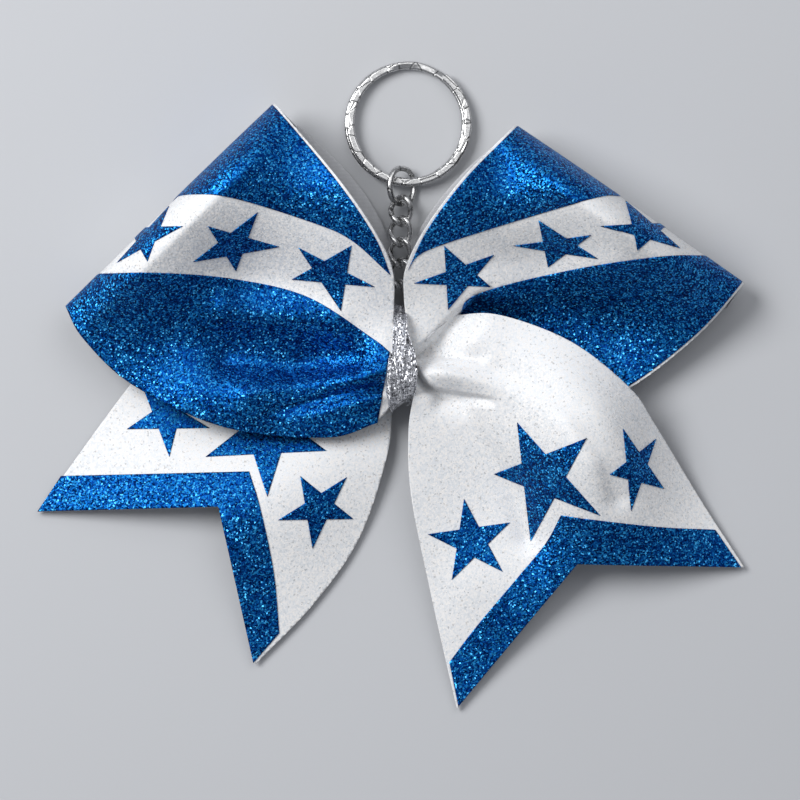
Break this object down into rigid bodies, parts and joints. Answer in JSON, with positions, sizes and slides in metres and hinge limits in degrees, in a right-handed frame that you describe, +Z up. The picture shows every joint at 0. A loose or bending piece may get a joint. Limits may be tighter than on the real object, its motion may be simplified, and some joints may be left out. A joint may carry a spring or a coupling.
{
  "type": "cheer bow key charm",
  "caption": "Two-loop, two-tail ribbon bow with glitter stars and stripes, tied with silver ribbon to a curb chain and split ring.",
  "frame": {"origin": "middle of the knot's flat back, where the bow lies on a surface", "axes": "+X to the right along the bow's width, +Y towards the split ring, +Z up from the surface out of the bow's front"},
  "size_m": [0.1406, 0.1287, 0.0279],
  "materials": {
    "ribbon": "white woven ribbon with a fine glitter coat",
    "blue_film": "blue glitter film",
    "silver_ribbon": "silver metallic woven ribbon",
    "thread": "white thread and crushed ribbon",
    "plated_steel": "nickel plate"
  },
  "bodies": {
    "bow": {"left_loop": "ribbon", "right_loop": "ribbon", "left_tail": "ribbon", "right_tail": "ribbon", "left_loop_top_stripe": "blue_film", "left_loop_bottom_stripe": "blue_film", "left_loop_star_1": "blue_film", "left_loop_star_2": "blue_film", "left_loop_star_3": "blue_film", "right_loop_top_stripe": "blue_film", "right_loop_bottom_stripe": "blue_film", "right_loop_star_1": "blue_film", "right_loop_star_2": "blue_film", "right_loop_star_3": "blue_film", "left_tail_band": "blue_film", "left_tail_star_1": "blue_film", "left_tail_star_2": "blue_film", "left_tail_star_3": "blue_film", "right_tail_band": "blue_film", "right_tail_star_1": "blue_film", "right_tail_star_2": "blue_film", "right_tail_star_3": "blue_film", "gather_core": "thread", "tie_ribbon": "silver_ribbon"},
    "end_ring": {"end_ring": "plated_steel"},
    "chain_link_1": {"chain_link_1": "plated_steel"},
    "chain_link_2": {"chain_link_2": "plated_steel"},
    "chain_link_3": {"chain_link_3": "plated_steel"},
    "chain_link_4": {"chain_link_4": "plated_steel"},
    "jump_ring": {"jump_ring": "plated_steel"},
    "split_ring": {"split_ring": "plated_steel"}
  },
  "joints": [
    {"name": "end_ring_hinge", "type": "hinge", "parent": "bow", "child": "end_ring", "pos_m": [0, 0.0096, 0.008], "axis": [1, 0, 0], "range_deg": [-2, 6]},
    {"name": "chain_link_1_hinge", "type": "hinge", "parent": "end_ring", "child": "chain_link_1", "pos_m": [0, 0.015, 0.0078], "axis": [1, 0, 0], "range_deg": [-2, 6]},
    {"name": "chain_link_2_hinge", "type": "hinge", "parent": "chain_link_1", "child": "chain_link_2", "pos_m": [0, 0.0192, 0.0069], "axis": [0, 0, 1], "range_deg": [-1, 2]},
    {"name": "chain_link_3_hinge", "type": "hinge", "parent": "chain_link_2", "child": "chain_link_3", "pos_m": [0, 0.0234, 0.0058], "axis": [1, 0, 0], "range_deg": [-2, 8]},
    {"name": "chain_link_4_hinge", "type": "hinge", "parent": "chain_link_3", "child": "chain_link_4", "pos_m": [0.0001, 0.0276, 0.0046], "axis": [0, 0, 1], "range_deg": [-1, 2]},
    {"name": "jump_ring_hinge", "type": "hinge", "parent": "chain_link_4", "child": "jump_ring", "pos_m": [0.0002, 0.0318, 0.0034], "axis": [1, 0, 0], "range_deg": [-2, 8]},
    {"name": "split_ring_hinge", "type": "hinge", "parent": "jump_ring", "child": "split_ring", "pos_m": [0.0004, 0.0353, 0.00275], "axis": [1, 0, 0], "range_deg": [-8, 45]}
  ]
}
